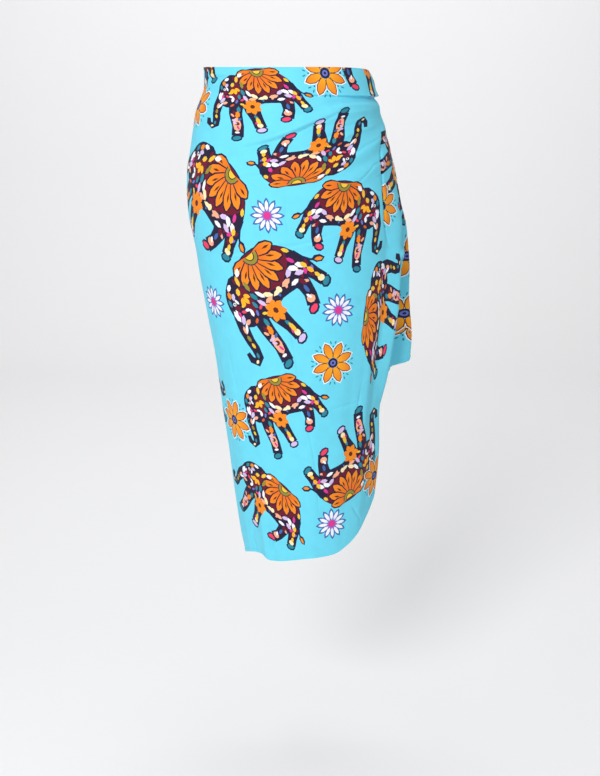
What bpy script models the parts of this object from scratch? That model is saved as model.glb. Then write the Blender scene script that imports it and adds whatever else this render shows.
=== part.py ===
"""Sarong worn as a wrapped skirt: one rectangular length of light printed cloth, hollow as on a figure.

The cloth starts under the front panel, passes the wearer's left hip, the back and the right hip, and
crosses the front a second time. Its last corner is drawn up to the hip and tucked under the turned-down
waist, so the front hem sweeps up there and the spare end hangs as a fall of soft folds.

Metres, +Z up, the front faces -Y. The origin is the middle of the waist opening, at its top edge.
"""

import math

import bpy
import numpy as np

# Cloth and layers. An offset is how far a layer's outer face stands from the hollow form.
CLOTH = 0.0015
LAYER_GAP = 0.0010
SEAM_GAP = 0.0005
UNDER_OFFSET = CLOTH
OVER_OFFSET = 2 * CLOTH + LAYER_GAP

# A turn is an angle round the waist in degrees: 0 at the wearer's right hip (-X), 90 at the front,
# 180 at the left hip (+X), 270 at the back. A drop is a distance below the waist's top edge.
UNDER_START = 60.0
SEAM = 325.0
FALL_START = 176.0
FALL_END = 216.0

FORM_COLUMNS = ("drop", "half_width", "half_depth", "lean", "set_back")
FORM = (
    (-0.010, 0.1180, 0.0860, 0.0000, 0.0000),
    (0.000, 0.1180, 0.0865, 0.0000, 0.0000),
    (0.030, 0.1202, 0.0895, 0.0020, 0.0010),
    (0.048, 0.1276, 0.0930, 0.0029, 0.0020),
    (0.066, 0.1355, 0.0970, 0.0037, 0.0030),
    (0.090, 0.1410, 0.1015, 0.0048, 0.0045),
    (0.123, 0.1477, 0.1065, 0.0061, 0.0062),
    (0.153, 0.1545, 0.1100, 0.0075, 0.0075),
    (0.200, 0.1580, 0.1140, 0.0100, 0.0085),
    (0.223, 0.1577, 0.1142, 0.0114, 0.0083),
    (0.245, 0.1547, 0.1138, 0.0128, 0.0078),
    (0.276, 0.1507, 0.1122, 0.0148, 0.0065),
    (0.311, 0.1478, 0.1100, 0.0166, 0.0045),
    (0.355, 0.1423, 0.1072, 0.0188, 0.0022),
    (0.396, 0.1370, 0.1050, 0.0206, 0.0005),
    (0.436, 0.1315, 0.1032, 0.0223, -0.0010),
    (0.478, 0.1269, 0.1015, 0.0232, -0.0020),
    (0.519, 0.1228, 0.1000, 0.0238, -0.0030),
    (0.561, 0.1196, 0.0987, 0.0262, -0.0038),
    (0.604, 0.1168, 0.0975, 0.0290, -0.0045),
    (0.656, 0.1120, 0.0962, 0.0300, -0.0055),
    (0.691, 0.1083, 0.0955, 0.0307, -0.0060),
    (0.735, 0.1035, 0.0948, 0.0320, -0.0068),
    (0.790, 0.0950, 0.0940, 0.0345, -0.0075),
)

# The waist's top edge dips where the tuck pulls on it.
TOP_COLUMNS = ("turn", "drop")
TOP = (
    (-35.0, 0.0000),
    (120.0, 0.0000),
    (145.0, 0.0012),
    (165.0, 0.0035),
    (180.0, 0.0070),
    (200.0, 0.0080),
    (230.0, 0.0050),
    (265.0, 0.0000),
    (325.0, 0.0000),
)

# The upper layer's hem is level across the front and climbs behind the hip to the corner of the fall.
OVER_HEM_COLUMNS = ("turn", "drop")
OVER_HEM = (
    (-35.0, 0.7720),
    (0.0, 0.7760),
    (24.0, 0.7620),
    (36.0, 0.7560),
    (48.0, 0.7540),
    (58.0, 0.7580),
    (90.0, 0.7500),
    (114.0, 0.7460),
    (129.0, 0.7340),
    (142.0, 0.7160),
    (152.0, 0.6980),
    (160.0, 0.6820),
    (166.0, 0.6640),
    (171.0, 0.6340),
    (176.0, 0.5620),
    (179.0, 0.5150),
    (182.0, 0.4920),
    (186.0, 0.4790),
    (190.0, 0.4710),
    (198.0, 0.4610),
    (203.0, 0.4540),
    (210.0, 0.4400),
    (216.0, 0.4280),
)

UNDER_HEM_COLUMNS = ("turn", "drop")
UNDER_HEM = (
    (60.0, 0.6250),
    (135.0, 0.6400),
    (180.0, 0.6600),
    (225.0, 0.7020),
    (270.0, 0.7450),
    (325.0, 0.7720),
)

# How far the upright folds over the left hip stand out, growing down the fall.
SIDE_FOLD_TURNS = (138.0, 152.0, 167.0, 178.0, 185.0, 190.0, 199.0, 208.0, 216.0)
SIDE_FOLD_COLUMNS = (
    "drop", "turn_in", "front_ridge", "deep_valley", "tongue", "valley", "lobe", "back_valley", "edge",
)
SIDE_FOLDS = (
    (0.048, 0.0000, 0.0000, 0.0000, 0.0000, 0.0000, 0.0000, 0.0000, 0.0000),
    (0.100, 0.0000, 0.0012, 0.0005, 0.0025, 0.0018, 0.0040, 0.0010, 0.0020),
    (0.160, 0.0000, 0.0025, 0.0012, 0.0045, 0.0035, 0.0080, 0.0020, 0.0040),
    (0.200, 0.0000, 0.0055, 0.0020, 0.0080, 0.0070, 0.0150, 0.0060, 0.0100),
    (0.245, 0.0005, 0.0120, 0.0050, 0.0170, 0.0160, 0.0320, 0.0150, 0.0230),
    (0.300, 0.0005, 0.0128, 0.0040, 0.0180, 0.0180, 0.0415, 0.0170, 0.0280),
    (0.360, 0.0005, 0.0134, 0.0040, 0.0190, 0.0210, 0.0465, 0.0200, 0.0320),
    (0.430, 0.0005, 0.0115, 0.0040, 0.0200, 0.0240, 0.0585, 0.0240, 0.0380),
    (0.475, 0.0000, 0.0080, 0.0040, 0.0170, 0.0240, 0.0590, 0.0240, 0.0380),
    (0.500, 0.0000, 0.0045, 0.0030, 0.0140, 0.0200, 0.0500, 0.0220, 0.0320),
    (0.525, 0.0000, 0.0010, 0.0010, 0.0100, 0.0180, 0.0450, 0.0200, 0.0300),
    (0.600, 0.0000, 0.0010, 0.0010, 0.0080, 0.0150, 0.0300, 0.0150, 0.0200),
)

# Slanting gathers fan out from the tuck, across the front to the wearer's right. The drops are where
# each ridge passes the turns named in GATHER_TURNS.
GATHER_TURNS = (50.0, 77.0, 105.0, 135.0, 172.0)
GATHER_COLUMNS = ("drops", "height", "half_width", "starts", "full")
GATHERS = (
    ((0.0680, 0.0620, 0.0560, 0.0520, 0.0500), 0.0020, 0.0055, 60.0, 95.0),
    ((0.1160, 0.1010, 0.0755, 0.0610, 0.0560), 0.0050, 0.0080, 44.0, 90.0),
    ((0.1660, 0.1540, 0.1440, 0.1230, 0.0880), 0.0036, 0.0110, 50.0, 110.0),
    ((0.2150, 0.2000, 0.1800, 0.1500, 0.1180), 0.0032, 0.0120, 80.0, 130.0),
)

# Soft upright folds: a hollow and a ridge by the forward leg, and ridges down the back.
FOLD_COLUMNS = ("turn", "half_width", "height", "starts", "full")
LEG_FOLDS = (
    (40.0, 9.0, -0.0050, 0.56, 0.75),
    (55.0, 6.0, 0.0040, 0.58, 0.77),
)
BACK_FOLDS = (
    (238.0, 7.0, 0.0050, 0.24, 0.70),
    (257.0, 6.0, 0.0040, 0.30, 0.74),
    (281.0, 8.0, 0.0055, 0.26, 0.74),
    (303.0, 6.0, 0.0035, 0.34, 0.76),
)

# The waist sags outwards over the tuck and ends in a ledge that fades out across the front.
LEDGE_COLUMNS = ("turn", "bottom", "bulge")
LEDGE = (
    (-35.0, 0.0300, 0.0000),
    (84.0, 0.0365, 0.0000),
    (104.0, 0.0385, 0.0024),
    (125.0, 0.0400, 0.0040),
    (145.0, 0.0412, 0.0062),
    (176.0, 0.0430, 0.0098),
    (216.0, 0.0440, 0.0060),
)
LEDGE_FALL = 0.0030

# Rows of points from below the last gather to the hem.
SKIRT_ROWS = 12

PRINT_TURQUOISE = (0.13, 0.60, 0.80, 1.0)
REVERSE_TURQUOISE = (0.22, 0.66, 0.82, 1.0)


def curve(rows, columns, x, y, at):
    """A smooth curve through a table's rows that never overshoots them (monotone cubic)."""
    table = np.array(rows, float)
    knots = table[:, columns.index(x)]
    values = table[:, columns.index(y)]
    at = np.clip(at, knots[0], knots[-1])
    steps = np.diff(knots)
    slopes = np.diff(values) / steps
    rises = slopes[:-1] * slopes[1:] > 0
    inner = np.where(rises, 2 * slopes[:-1] * slopes[1:] / np.where(rises, slopes[:-1] + slopes[1:], 1), 0)
    tangents = np.concatenate([slopes[:1], inner, slopes[-1:]])
    i = np.clip(np.searchsorted(knots, at, side="right") - 1, 0, len(steps) - 1)
    t = (at - knots[i]) / steps[i]
    return (
        (1 + 2 * t) * (1 - t) ** 2 * values[i]
        + t * (1 - t) ** 2 * steps[i] * tangents[i]
        + t * t * (3 - 2 * t) * values[i + 1]
        + t * t * (t - 1) * steps[i] * tangents[i + 1]
    )


def ease(low, high, at):
    """0 up to low, 1 from high on, and a smooth step between."""
    t = np.clip((at - low) / (high - low), 0, 1)
    return t * t * (3 - 2 * t)


def form_point(turn, drop):
    """A point of the hollow form."""
    angle = np.radians(turn)
    half_width = curve(FORM, FORM_COLUMNS, "drop", "half_width", drop)
    half_depth = curve(FORM, FORM_COLUMNS, "drop", "half_depth", drop)
    x = curve(FORM, FORM_COLUMNS, "drop", "lean", drop) - half_width * np.cos(angle)
    y = curve(FORM, FORM_COLUMNS, "drop", "set_back", drop) - half_depth * np.sin(angle)
    return np.stack([x, y, -drop], axis=-1)


def form_outward(turn, drop):
    """The level direction that points out of the form."""
    angle = np.radians(turn)
    half_width = curve(FORM, FORM_COLUMNS, "drop", "half_width", drop)
    half_depth = curve(FORM, FORM_COLUMNS, "drop", "half_depth", drop)
    outward = np.stack([-half_depth * np.cos(angle), -half_width * np.sin(angle), 0 * angle], axis=-1)
    return outward / np.linalg.norm(outward, axis=-1, keepdims=True)


def side_folds(turn, drop):
    """The upright folds that hang from the hip, as a smooth wave through the table's turns."""
    names = SIDE_FOLD_COLUMNS[1:]
    heights = [curve(SIDE_FOLDS, SIDE_FOLD_COLUMNS, "drop", name, drop) for name in names]
    heights = [np.zeros_like(drop)] + heights
    stand = np.where(turn >= SIDE_FOLD_TURNS[-1], heights[-1], 0.0)
    for low, high, before, after in zip(SIDE_FOLD_TURNS, SIDE_FOLD_TURNS[1:], heights, heights[1:]):
        within = (turn >= low) & (turn < high)
        stand = np.where(within, before + (after - before) * ease(low, high, turn), stand)
    return stand


def gather_drop(drops, turn):
    """The drop of a gather's ridge at a turn."""
    return curve(list(zip(GATHER_TURNS, drops)), ("turn", "drop"), "turn", "drop", turn)


def gathers(turn, drop):
    """The slanting ridges drawn towards the tuck, fading out across the front."""
    stand = np.zeros_like(drop)
    for drops, height, half_width, starts, full in GATHERS:
        across = np.exp(-(((drop - gather_drop(drops, turn)) / half_width) ** 2))
        along = ease(starts, full, turn) * (1 - ease(150, FALL_END, turn))
        stand = stand + height * across * along
    return stand


def ledge(turn, drop):
    """The sagging waist: it bows out from the top edge to its ledge, then drops back to the panel."""
    top = top_edge(turn)
    bottom = curve(LEDGE, LEDGE_COLUMNS, "turn", "bottom", turn)
    share = np.clip((drop - top) / (bottom - top), 0, 1)
    bow = 0.4 + 0.6 * np.sin(np.clip(2 * share, 0, 1) * np.pi / 2)
    fall = 1 - ease(bottom - LEDGE_FALL / 3, bottom + LEDGE_FALL * 2 / 3, drop)
    return curve(LEDGE, LEDGE_COLUMNS, "turn", "bulge", turn) * bow * fall


def upright_folds(table, turn, drop):
    """Soft vertical ridges and hollows that deepen towards the hem."""
    stand = np.zeros_like(drop)
    for middle, half_width, height, starts, full in table:
        across = np.exp(-(((turn - middle) / half_width) ** 2))
        stand = stand + height * across * ease(starts, full, drop)
    return stand


def over_offset(turn, drop):
    """The upper layer's outer face: front panel and fall."""
    folds = side_folds(turn, drop) + upright_folds(LEG_FOLDS, turn, drop)
    return OVER_OFFSET + folds + gathers(turn, drop) + ledge(turn, drop)


def under_offset(turn, drop):
    """The lower layer's outer face. Round the right hip it comes out to become the upper layer."""
    layer = UNDER_OFFSET + (OVER_OFFSET - UNDER_OFFSET) * ease(250, SEAM - 10, turn)
    return layer + upright_folds(BACK_FOLDS, turn, drop)


def top_edge(turn):
    return curve(TOP, TOP_COLUMNS, "turn", "drop", turn)


def over_hem(turn):
    return curve(OVER_HEM, OVER_HEM_COLUMNS, "turn", "drop", turn)


def under_hem(turn):
    return curve(UNDER_HEM, UNDER_HEM_COLUMNS, "turn", "drop", turn)


def over_rows(turn):
    """The drops of the upper layer's rows: they follow the ledge and the gathers, then space out."""
    top = top_edge(turn)
    bottom = curve(LEDGE, LEDGE_COLUMNS, "turn", "bottom", turn)
    above = bottom - LEDGE_FALL / 3
    rows = [top, (top + above) / 2, above, bottom + LEDGE_FALL * 2 / 3]
    for drops, height, half_width, starts, full in GATHERS:
        ridge = gather_drop(drops, turn)
        if len(rows) > 4:
            rows.append((rows[-1] + ridge) / 2)
        rows.append(ridge)
    last = rows[-1] + 0.030
    rows += [last + (over_hem(turn) - last) * share for share in np.linspace(0, 1, SKIRT_ROWS)]
    return np.stack(rows, axis=-1)


def under_rows(turn):
    """The drops of the lower layer's rows: closer where the hips curve."""
    top = top_edge(turn) + 0.001
    shares = np.concatenate([np.linspace(0, 0.36, 9)[:-1], np.linspace(0.36, 1, 10)])
    return top[:, None] + (under_hem(turn) - top)[:, None] * shares[None, :]


def material(name, colour):
    made = bpy.data.materials.new(name)
    made.use_nodes = True
    surface = made.node_tree.nodes["Principled BSDF"]
    surface.inputs["Base Color"].default_value = colour
    surface.inputs["Roughness"].default_value = 0.8
    surface.inputs["Metallic"].default_value = 0.0
    return made


def wall(name, turns, rows, offset, cloth_material, parent):
    """One stretch of the cloth: a grid over the form between two edges, thickened inwards."""
    drop = rows(turns)
    turn = np.repeat(turns[:, None], drop.shape[1], axis=1)
    points = form_point(turn, drop) + form_outward(turn, drop) * offset(turn, drop)[..., None]
    across, down = drop.shape
    faces = [
        (i * down + j, i * down + j + 1, (i + 1) * down + j + 1, (i + 1) * down + j)
        for i in range(across - 1)
        for j in range(down - 1)
    ]
    mesh = bpy.data.meshes.new(name)
    mesh.from_pydata([tuple(p) for p in points.reshape(-1, 3)], [], faces)
    mesh.materials.append(cloth_material)
    mesh.shade_smooth()
    stretch = bpy.data.objects.new(name, mesh)
    bpy.context.scene.collection.objects.link(stretch)
    stretch.parent = parent
    thick = stretch.modifiers.new("cloth thickness", "SOLIDIFY")
    thick.thickness = CLOTH
    thick.offset = -1
    thick.use_even_offset = True
    thick.use_rim = True
    return stretch


def degrees_of(gap, drop):
    """The turn that a gap takes up at the form's side."""
    return math.degrees(gap / float(curve(FORM, FORM_COLUMNS, "drop", "half_depth", np.array(drop))))


def build():
    for old in list(bpy.data.objects):
        bpy.data.objects.remove(old)
    waist = bpy.data.objects.new("waist", None)
    bpy.context.scene.collection.objects.link(waist)
    face = material("printed face", PRINT_TURQUOISE)
    fall = material("printed face, fall", PRINT_TURQUOISE)
    lower = material("printed face, lower layer", REVERSE_TURQUOISE)
    gap = degrees_of(SEAM_GAP, 0.0)

    back_turns = np.linspace(UNDER_START, SEAM, 56)
    front_turns = np.concatenate([np.linspace(SEAM - 360 + gap, 144, 46), np.linspace(147, FALL_START, 10)])
    fall_turns = np.linspace(FALL_START + gap, FALL_END, 17)
    wall("back_wrap", back_turns, under_rows, under_offset, lower, waist)
    wall("front_wrap", front_turns, over_rows, over_offset, face, waist)
    wall("side_fall", fall_turns, over_rows, over_offset, fall, waist)


build()
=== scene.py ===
"""Looks of the wrapped sarong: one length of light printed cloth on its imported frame.

The cloth is a single thin shell that winds once and a half round the hollow form. Its print is drawn as
flat shapes and cut into the shell's own faces, so every edge of the print lies on the cloth.

Metres, +Z up, the front faces -Y.
"""

import math

import bpy
import numpy as np
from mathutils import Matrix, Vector
from mathutils.geometry import delaunay_2d_cdt


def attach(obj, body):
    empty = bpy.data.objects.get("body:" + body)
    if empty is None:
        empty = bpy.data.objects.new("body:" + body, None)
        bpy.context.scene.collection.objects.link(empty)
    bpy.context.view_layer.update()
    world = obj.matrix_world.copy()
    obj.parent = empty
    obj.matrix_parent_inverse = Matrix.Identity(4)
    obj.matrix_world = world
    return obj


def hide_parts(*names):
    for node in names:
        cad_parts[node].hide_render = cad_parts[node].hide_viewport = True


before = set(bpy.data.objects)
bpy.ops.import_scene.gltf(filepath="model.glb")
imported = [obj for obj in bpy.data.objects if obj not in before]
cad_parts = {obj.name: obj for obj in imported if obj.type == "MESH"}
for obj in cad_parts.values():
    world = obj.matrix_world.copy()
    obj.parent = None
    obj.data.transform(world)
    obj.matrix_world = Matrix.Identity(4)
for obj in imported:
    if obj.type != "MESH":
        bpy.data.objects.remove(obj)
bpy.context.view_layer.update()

# How thick the shell is, and where its outer face stands from the hollow form in each layer.
THICKNESS = 0.0009
FALL_THICKNESS = 0.0020
UNDER_OFFSET = 0.0015
OVER_OFFSET = 0.0040

# A wind is an angle along the cloth in degrees: 60 at its hidden end under the front, 180 at the left
# hip, 270 at the back, 360 at the right hip, 450 at the front again and 576 at its drawn-up end.
WIND_START = 60.0
WIND_SEAM = 325.0
WIND_END = 576.0
METRES_PER_DEGREE = 0.0023

# How far the fall's outer lobe curls forward, the winds where that begins and ends, and the drops.
SWING = 0.018
SWING_BEGINS = (550.0, 558.5)
SWING_ENDS = (562.0, 571.0)
SWING_DEEPENS = (0.20, 0.30)

# Where the reverse face follows the fall's deep folds.
FALL_WINDS = (522.0, 534.0)
FALL_DROPS = (0.10, 0.14)

# The narrow hem along the lower and end edges, and half the width of its step.
HEM_WIDTH = 0.0056
HEM_RISE = 0.0006
HEM_STEP = 0.0006
STITCH_COLUMNS = ("from_edge", "pitch", "length", "half_width", "rise")
STITCH = (0.0046, 0.0034, 0.0023, 0.00028, 0.00032)

# The photograph's camera.
FRAME_WIDTH = 600
FRAME_HEIGHT = 776
FOCAL_PIXELS = 1190.0
CAMERA_TILT = math.radians(15.1)
CAMERA_AWAY = 1.85
CAMERA_X = 0.0225
FLOOR = -1.12

FORM_COLUMNS = ("drop", "half_width", "half_depth", "lean", "set_back")
FORM = (
    (-0.010, 0.1180, 0.0860, 0.0000, 0.0000),
    (0.000, 0.1180, 0.0865, 0.0000, 0.0000),
    (0.030, 0.1202, 0.0895, 0.0020, 0.0010),
    (0.048, 0.1276, 0.0930, 0.0029, 0.0020),
    (0.066, 0.1355, 0.0970, 0.0037, 0.0030),
    (0.090, 0.1410, 0.1015, 0.0048, 0.0045),
    (0.123, 0.1477, 0.1065, 0.0061, 0.0062),
    (0.153, 0.1545, 0.1100, 0.0075, 0.0075),
    (0.200, 0.1580, 0.1140, 0.0100, 0.0085),
    (0.223, 0.1577, 0.1142, 0.0114, 0.0083),
    (0.245, 0.1547, 0.1138, 0.0128, 0.0078),
    (0.276, 0.1507, 0.1122, 0.0148, 0.0065),
    (0.311, 0.1478, 0.1100, 0.0166, 0.0045),
    (0.355, 0.1423, 0.1072, 0.0188, 0.0022),
    (0.396, 0.1370, 0.1050, 0.0206, 0.0005),
    (0.436, 0.1315, 0.1032, 0.0223, -0.0010),
    (0.478, 0.1269, 0.1015, 0.0232, -0.0020),
    (0.519, 0.1228, 0.1000, 0.0238, -0.0030),
    (0.561, 0.1196, 0.0987, 0.0262, -0.0038),
    (0.604, 0.1168, 0.0975, 0.0290, -0.0045),
    (0.656, 0.1120, 0.0962, 0.0300, -0.0055),
    (0.691, 0.1083, 0.0955, 0.0307, -0.0060),
    (0.735, 0.1035, 0.0948, 0.0320, -0.0068),
    (0.790, 0.0950, 0.0940, 0.0345, -0.0075),
)

TOP_COLUMNS = ("turn", "drop")
TOP = (
    (-35.0, 0.0000),
    (120.0, 0.0000),
    (145.0, 0.0012),
    (165.0, 0.0035),
    (180.0, 0.0070),
    (200.0, 0.0080),
    (230.0, 0.0050),
    (265.0, 0.0000),
    (325.0, 0.0000),
)

OVER_HEM_COLUMNS = ("turn", "drop")
OVER_HEM = (
    (-35.0, 0.7720),
    (0.0, 0.7760),
    (24.0, 0.7620),
    (36.0, 0.7560),
    (48.0, 0.7540),
    (58.0, 0.7580),
    (90.0, 0.7500),
    (114.0, 0.7460),
    (129.0, 0.7340),
    (142.0, 0.7160),
    (152.0, 0.6980),
    (160.0, 0.6820),
    (166.0, 0.6640),
    (171.0, 0.6340),
    (176.0, 0.5620),
    (179.0, 0.5150),
    (182.0, 0.4920),
    (186.0, 0.4790),
    (190.0, 0.4710),
    (198.0, 0.4610),
    (203.0, 0.4540),
    (210.0, 0.4400),
    (216.0, 0.4280),
)

UNDER_HEM_COLUMNS = ("turn", "drop")
UNDER_HEM = (
    (60.0, 0.6250),
    (135.0, 0.6400),
    (180.0, 0.6600),
    (225.0, 0.7020),
    (270.0, 0.7450),
    (325.0, 0.7720),
)

SIDE_FOLD_TURNS = (138.0, 152.0, 167.0, 178.0, 185.0, 190.0, 199.0, 208.0, 216.0)
SIDE_FOLD_COLUMNS = (
    "drop", "turn_in", "front_ridge", "deep_valley", "tongue", "valley", "lobe", "back_valley", "edge",
)
SIDE_FOLDS = (
    (0.048, 0.0000, 0.0000, 0.0000, 0.0000, 0.0000, 0.0000, 0.0000, 0.0000),
    (0.100, 0.0000, 0.0012, 0.0005, 0.0025, 0.0018, 0.0040, 0.0010, 0.0020),
    (0.160, 0.0000, 0.0025, 0.0012, 0.0045, 0.0035, 0.0080, 0.0020, 0.0040),
    (0.200, 0.0000, 0.0055, 0.0020, 0.0080, 0.0070, 0.0150, 0.0060, 0.0100),
    (0.245, 0.0005, 0.0120, 0.0050, 0.0170, 0.0160, 0.0320, 0.0150, 0.0230),
    (0.300, 0.0005, 0.0128, 0.0040, 0.0180, 0.0180, 0.0415, 0.0170, 0.0280),
    (0.360, 0.0005, 0.0134, 0.0040, 0.0190, 0.0210, 0.0465, 0.0200, 0.0320),
    (0.430, 0.0005, 0.0115, 0.0040, 0.0200, 0.0240, 0.0585, 0.0240, 0.0380),
    (0.475, 0.0000, 0.0080, 0.0040, 0.0170, 0.0240, 0.0590, 0.0240, 0.0380),
    (0.500, 0.0000, 0.0045, 0.0030, 0.0140, 0.0200, 0.0500, 0.0220, 0.0320),
    (0.525, 0.0000, 0.0010, 0.0010, 0.0100, 0.0180, 0.0450, 0.0200, 0.0300),
    (0.600, 0.0000, 0.0010, 0.0010, 0.0080, 0.0150, 0.0300, 0.0150, 0.0200),
)

GATHER_TURNS = (50.0, 77.0, 105.0, 135.0, 172.0)
GATHER_COLUMNS = ("drops", "height", "half_width", "starts", "full")
GATHERS = (
    ((0.0680, 0.0620, 0.0560, 0.0520, 0.0500), 0.0020, 0.0055, 60.0, 95.0),
    ((0.1160, 0.1010, 0.0755, 0.0610, 0.0560), 0.0050, 0.0080, 44.0, 90.0),
    ((0.1660, 0.1540, 0.1440, 0.1230, 0.0880), 0.0036, 0.0110, 50.0, 110.0),
    ((0.2150, 0.2000, 0.1800, 0.1500, 0.1180), 0.0032, 0.0120, 80.0, 130.0),
)

UPRIGHT_COLUMNS = ("turn", "half_width", "height", "starts", "full")
LEG_FOLDS = (
    (40.0, 9.0, -0.0050, 0.56, 0.75),
    (55.0, 6.0, 0.0040, 0.58, 0.77),
)
BACK_FOLDS = (
    (238.0, 7.0, 0.0050, 0.24, 0.70),
    (257.0, 6.0, 0.0040, 0.30, 0.74),
    (281.0, 8.0, 0.0055, 0.26, 0.74),
    (303.0, 6.0, 0.0035, 0.34, 0.76),
)

LEDGE_COLUMNS = ("turn", "bottom", "bulge")
LEDGE = (
    (-35.0, 0.0300, 0.0000),
    (84.0, 0.0365, 0.0000),
    (104.0, 0.0385, 0.0024),
    (125.0, 0.0400, 0.0040),
    (145.0, 0.0412, 0.0062),
    (176.0, 0.0430, 0.0098),
    (216.0, 0.0440, 0.0060),
)
LEDGE_FALL = 0.0030


def curve(rows, columns, x, y, at):
    """A smooth curve through a table's rows that never overshoots them (monotone cubic)."""
    table = np.array(rows, float)
    knots = table[:, columns.index(x)]
    values = table[:, columns.index(y)]
    at = np.clip(at, knots[0], knots[-1])
    steps = np.diff(knots)
    slopes = np.diff(values) / steps
    rises = slopes[:-1] * slopes[1:] > 0
    inner = np.where(rises, 2 * slopes[:-1] * slopes[1:] / np.where(rises, slopes[:-1] + slopes[1:], 1), 0)
    tangents = np.concatenate([slopes[:1], inner, slopes[-1:]])
    i = np.clip(np.searchsorted(knots, at, side="right") - 1, 0, len(steps) - 1)
    t = (at - knots[i]) / steps[i]
    return (
        (1 + 2 * t) * (1 - t) ** 2 * values[i]
        + t * (1 - t) ** 2 * steps[i] * tangents[i]
        + t * t * (3 - 2 * t) * values[i + 1]
        + t * t * (t - 1) * steps[i] * tangents[i + 1]
    )


def ease(low, high, at):
    """0 up to low, 1 from high on, and a smooth step between."""
    t = np.clip((at - low) / (high - low), 0, 1)
    return t * t * (3 - 2 * t)


def form_point(turn, drop):
    angle = np.radians(turn)
    half_width = curve(FORM, FORM_COLUMNS, "drop", "half_width", drop)
    half_depth = curve(FORM, FORM_COLUMNS, "drop", "half_depth", drop)
    x = curve(FORM, FORM_COLUMNS, "drop", "lean", drop) - half_width * np.cos(angle)
    y = curve(FORM, FORM_COLUMNS, "drop", "set_back", drop) - half_depth * np.sin(angle)
    return np.stack([x, y, -drop], axis=-1)


def form_outward(turn, drop):
    angle = np.radians(turn)
    half_width = curve(FORM, FORM_COLUMNS, "drop", "half_width", drop)
    half_depth = curve(FORM, FORM_COLUMNS, "drop", "half_depth", drop)
    outward = np.stack([-half_depth * np.cos(angle), -half_width * np.sin(angle), 0 * angle], axis=-1)
    return outward / np.linalg.norm(outward, axis=-1, keepdims=True)


def side_folds(turn, drop):
    """The upright folds that hang from the hip, as a smooth wave through the table's turns."""
    names = SIDE_FOLD_COLUMNS[1:]
    heights = [curve(SIDE_FOLDS, SIDE_FOLD_COLUMNS, "drop", name, drop) for name in names]
    heights = [np.zeros_like(drop)] + heights
    stand = np.where(turn >= SIDE_FOLD_TURNS[-1], heights[-1], 0.0)
    for low, high, before, after in zip(SIDE_FOLD_TURNS, SIDE_FOLD_TURNS[1:], heights, heights[1:]):
        within = (turn >= low) & (turn < high)
        stand = np.where(within, before + (after - before) * ease(low, high, turn), stand)
    return stand


def gather_drop(drops, turn):
    return curve(list(zip(GATHER_TURNS, drops)), ("turn", "drop"), "turn", "drop", turn)


def gathers(turn, drop):
    """The slanting ridges drawn towards the tuck, fading out across the front."""
    stand = np.zeros_like(drop)
    for drops, height, half_width, starts, full in GATHERS:
        across = np.exp(-(((drop - gather_drop(drops, turn)) / half_width) ** 2))
        along = ease(starts, full, turn) * (1 - ease(150, 216, turn))
        stand = stand + height * across * along
    return stand


def top_edge(turn):
    return curve(TOP, TOP_COLUMNS, "turn", "drop", turn)


def ledge_bottom(turn):
    return curve(LEDGE, LEDGE_COLUMNS, "turn", "bottom", turn)


def ledge(turn, drop):
    """The sagging waist: it bows out from the top edge to its ledge, then drops back to the panel."""
    top = top_edge(turn)
    bottom = ledge_bottom(turn)
    share = np.clip((drop - top) / (bottom - top), 0, 1)
    bow = 0.4 + 0.6 * np.sin(np.clip(2 * share, 0, 1) * np.pi / 2)
    fall = 1 - ease(bottom - LEDGE_FALL / 3, bottom + LEDGE_FALL * 2 / 3, drop)
    return curve(LEDGE, LEDGE_COLUMNS, "turn", "bulge", turn) * bow * fall


def upright_folds(table, turn, drop):
    """Soft vertical ridges and hollows that deepen towards the hem."""
    stand = np.zeros_like(drop)
    for middle, half_width, height, starts, full in table:
        across = np.exp(-(((turn - middle) / half_width) ** 2))
        stand = stand + height * across * ease(starts, full, drop)
    return stand


def over_offset(turn, drop):
    folds = side_folds(turn, drop) + upright_folds(LEG_FOLDS, turn, drop)
    return OVER_OFFSET + folds + gathers(turn, drop) + ledge(turn, drop)


def under_offset(turn, drop):
    layer = UNDER_OFFSET + (OVER_OFFSET - UNDER_OFFSET) * ease(250, WIND_SEAM - 10, turn)
    return layer + upright_folds(BACK_FOLDS, turn, drop)


def flat(winds, drops):
    """Winds and drops as cloth coordinates, in metres."""
    return np.stack([np.asarray(winds) * METRES_PER_DEGREE, np.asarray(drops)], axis=-1)


def unflat(places):
    """Winds and drops of places in cloth coordinates."""
    return places[:, 0] / METRES_PER_DEGREE, places[:, 1]


def cloth_top(wind):
    """The drop of the cloth's top edge."""
    under = top_edge(wind) + 0.001 * (1 - ease(250, WIND_SEAM, wind))
    return np.where(wind < WIND_SEAM, under, top_edge(wind - 360))


def cloth_hem(wind):
    """The drop of the cloth's lower edge."""
    under = curve(UNDER_HEM, UNDER_HEM_COLUMNS, "turn", "drop", wind)
    over = curve(OVER_HEM, OVER_HEM_COLUMNS, "turn", "drop", wind - 360)
    return np.where(wind < WIND_SEAM, under, over)


def smooth_offset(wind, drop):
    """How far the outer face stands from the form, before its small creases."""
    is_under = wind < WIND_SEAM
    turn = np.where(is_under, wind, wind - 360)
    return np.where(is_under, under_offset(turn, drop), over_offset(turn, drop))


def swing(wind, drop):
    """How far the fall's outer lobe curls forward."""
    return SWING * ease(*SWING_BEGINS, wind) * (1 - ease(*SWING_ENDS, wind)) * ease(*SWING_DEEPENS, drop)


def offset_point(wind, drop, offset):
    """The place on the cloth that stands off the form by offset."""
    turn = np.where(wind < WIND_SEAM, wind, wind - 360)
    place = form_point(turn, drop) + form_outward(turn, drop) * offset[..., None]
    place[..., 1] -= swing(wind, drop)
    return place


def smooth_point(wind, drop):
    """The outer face of the cloth before its small creases."""
    return offset_point(wind, drop, smooth_offset(wind, drop))


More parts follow.
